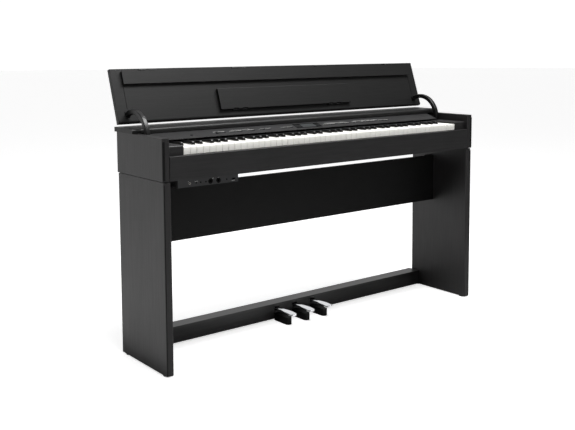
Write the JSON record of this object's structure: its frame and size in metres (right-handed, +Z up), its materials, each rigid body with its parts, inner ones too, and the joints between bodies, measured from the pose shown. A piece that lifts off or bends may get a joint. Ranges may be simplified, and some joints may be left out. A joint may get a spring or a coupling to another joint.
{
  "type": "digital piano on stand",
  "caption": "Slim upright digital piano on a stand with side legs, a lid on curved arms, a folding flap and music rest, pedals on a rail and a sloping control panel.",
  "frame": {"origin": "on the floor, in the middle of the whole piano's box with its lid open", "axes": "+X along the keyboard to the player's right, +Y to the back, +Z up"},
  "size_m": [1.387, 0.3476, 0.9294],
  "materials": {
    "cabinet_black": "satin black foil over particle board, fine vertical grain",
    "panel_black": "fine matt black plastic",
    "arm_black": "glossy black cover over a steel arm",
    "white_key": "ivory-feel white plastic, semi-gloss",
    "black_key": "ebony-feel black plastic, satin",
    "pedal_chrome": "polished chrome",
    "steel": "zinc-plated steel",
    "black_steel": "black painted sheet steel",
    "strip_rubber": "soft black edging",
    "felt_red": "dark red felt",
    "display_glass": "smoked display window",
    "circuit_green": "green solder mask",
    "speaker_paper": "black speaker cone and grille"
  },
  "bodies": {
    "frame": {"leg_left": "cabinet_black", "leg_right": "cabinet_black", "leg_glides": "strip_rubber", "rear_panel": "cabinet_black", "panel_brackets": "black_steel", "bracket_screws": "steel", "pedal_rail_front": "cabinet_black", "pedal_rail_top": "cabinet_black", "pedal_rail_back": "cabinet_black", "pedal_mounts": "black_steel", "pedal_pins": "steel", "pedal_springs": "steel", "pedal_supports": "panel_black", "side_left": "cabinet_black", "side_right": "cabinet_black", "bottom_board": "cabinet_black", "front_board": "cabinet_black", "back_board": "cabinet_black", "power_inlet": "panel_black", "rear_top": "cabinet_black", "well_walls": "panel_black", "cheek_blocks": "cabinet_black", "control_panel": "panel_black", "display_window": "display_glass", "key_frame": "black_steel", "key_felt": "felt_red", "hinge_brackets": "black_steel", "hinge_pins": "steel", "jack_box": "panel_black", "phone_jacks": "panel_black", "usb_port": "black_steel", "speakers": "speaker_paper", "speaker_grilles": "speaker_paper", "main_board": "circuit_green"},
    "lid": {"lid_panel": "cabinet_black", "lid_edge_strip": "strip_rubber", "lid_arm_left": "arm_black", "lid_arm_right": "arm_black", "flap_hinge": "black_steel", "music_rest_hinge": "black_steel"},
    "flap": {"flap": "cabinet_black"},
    "music_rest": {"music_rest": "cabinet_black"},
    "pedal_left": {"pedal_left": "pedal_chrome"},
    "pedal_middle": {"pedal_middle": "pedal_chrome"},
    "pedal_right": {"pedal_right": "pedal_chrome"},
    "white_keys_1": {"white_keys_1": "white_key"},
    "black_keys_1": {"black_keys_1": "black_key"},
    "white_keys_2": {"white_keys_2": "white_key"},
    "black_keys_2": {"black_keys_2": "black_key"},
    "white_keys_3": {"white_keys_3": "white_key"},
    "black_keys_3": {"black_keys_3": "black_key"},
    "white_keys_4": {"white_keys_4": "white_key"},
    "black_keys_4": {"black_keys_4": "black_key"},
    "power_button": {"power_button": "panel_black"},
    "tone_buttons": {"tone_buttons": "panel_black"},
    "play_buttons": {"play_buttons": "panel_black"},
    "song_buttons": {"song_buttons": "panel_black"},
    "function_buttons": {"function_buttons": "panel_black"},
    "volume_slider": {"volume_slider": "panel_black"}
  },
  "joints": [
    {"name": "lid_hinge", "type": "hinge", "parent": "frame", "child": "lid", "pos_m": [0, 0.06424, 0.711], "axis": [1, 0, 0], "range_deg": [0, 108.94]},
    {"name": "flap_hinge", "type": "hinge", "parent": "lid", "child": "flap", "pos_m": [0, 0.1529, 0.92532], "axis": [1, 0, 0], "range_deg": [-90, 0]},
    {"name": "music_rest_hinge", "type": "hinge", "parent": "lid", "child": "music_rest", "pos_m": [0, 0.10423, 0.78133], "axis": [-1, 0, 0], "range_deg": [-90, 0]},
    {"name": "pedal_left_hinge", "type": "hinge", "parent": "frame", "child": "pedal_left", "pos_m": [-0.084, 0.11224, 0.0445], "axis": [1, 0, 0], "range_deg": [0, 6], "stiffness_Nm_per_rad": 12, "springref_deg": -3.44, "deforming": ["pedal_springs"]},
    {"name": "pedal_middle_hinge", "type": "hinge", "parent": "frame", "child": "pedal_middle", "pos_m": [0, 0.11224, 0.0445], "axis": [1, 0, 0], "range_deg": [0, 6], "stiffness_Nm_per_rad": 12, "springref_deg": -3.44, "deforming": ["pedal_springs"]},
    {"name": "pedal_right_hinge", "type": "hinge", "parent": "frame", "child": "pedal_right", "pos_m": [0.084, 0.11224, 0.0445], "axis": [1, 0, 0], "range_deg": [0, 6], "stiffness_Nm_per_rad": 12, "springref_deg": -3.44, "deforming": ["pedal_springs"]},
    {"name": "white_keys_1_press", "type": "hinge", "parent": "frame", "child": "white_keys_1", "pos_m": [0, 0.05624, 0.684], "axis": [1, 0, 0], "range_deg": [0, 2.7], "stiffness_Nm_per_rad": 60, "springref_deg": -2.29},
    {"name": "black_keys_1_press", "type": "hinge", "parent": "frame", "child": "black_keys_1", "pos_m": [0, 0.05624, 0.684], "axis": [1, 0, 0], "range_deg": [0, 3], "stiffness_Nm_per_rad": 40, "springref_deg": -2.29},
    {"name": "white_keys_2_press", "type": "hinge", "parent": "frame", "child": "white_keys_2", "pos_m": [0, 0.05624, 0.684], "axis": [1, 0, 0], "range_deg": [0, 2.7], "stiffness_Nm_per_rad": 60, "springref_deg": -2.29},
    {"name": "black_keys_2_press", "type": "hinge", "parent": "frame", "child": "black_keys_2", "pos_m": [0, 0.05624, 0.684], "axis": [1, 0, 0], "range_deg": [0, 3], "stiffness_Nm_per_rad": 40, "springref_deg": -2.29},
    {"name": "white_keys_3_press", "type": "hinge", "parent": "frame", "child": "white_keys_3", "pos_m": [0, 0.05624, 0.684], "axis": [1, 0, 0], "range_deg": [0, 2.7], "stiffness_Nm_per_rad": 60, "springref_deg": -2.29},
    {"name": "black_keys_3_press", "type": "hinge", "parent": "frame", "child": "black_keys_3", "pos_m": [0, 0.05624, 0.684], "axis": [1, 0, 0], "range_deg": [0, 3], "stiffness_Nm_per_rad": 40, "springref_deg": -2.29},
    {"name": "white_keys_4_press", "type": "hinge", "parent": "frame", "child": "white_keys_4", "pos_m": [0, 0.05624, 0.684], "axis": [1, 0, 0], "range_deg": [0, 2.7], "stiffness_Nm_per_rad": 60, "springref_deg": -2.29},
    {"name": "black_keys_4_press", "type": "hinge", "parent": "frame", "child": "black_keys_4", "pos_m": [0, 0.05624, 0.684], "axis": [1, 0, 0], "range_deg": [0, 3], "stiffness_Nm_per_rad": 40, "springref_deg": -2.29},
    {"name": "power_button_press", "type": "slide", "parent": "frame", "child": "power_button", "axis": [0, 0.3206, -0.9472], "range_m": [0, 0.0009], "stiffness_N_per_m": 300, "springref_m": -0.0008},
    {"name": "tone_buttons_press", "type": "slide", "parent": "frame", "child": "tone_buttons", "axis": [0, 0.3206, -0.9472], "range_m": [0, 0.0009], "stiffness_N_per_m": 300, "springref_m": -0.0008},
    {"name": "play_buttons_press", "type": "slide", "parent": "frame", "child": "play_buttons", "axis": [0, 0.3206, -0.9472], "range_m": [0, 0.0009], "stiffness_N_per_m": 300, "springref_m": -0.0008},
    {"name": "song_buttons_press", "type": "slide", "parent": "frame", "child": "song_buttons", "axis": [0, 0.3206, -0.9472], "range_m": [0, 0.0009], "stiffness_N_per_m": 300, "springref_m": -0.0008},
    {"name": "function_buttons_press", "type": "slide", "parent": "frame", "child": "function_buttons", "axis": [0, 0.3206, -0.9472], "range_m": [0, 0.0009], "stiffness_N_per_m": 300, "springref_m": -0.0008},
    {"name": "volume_slide", "type": "slide", "parent": "frame", "child": "volume_slider", "axis": [1, 0, 0], "range_m": [0, 0.03]}
  ]
}
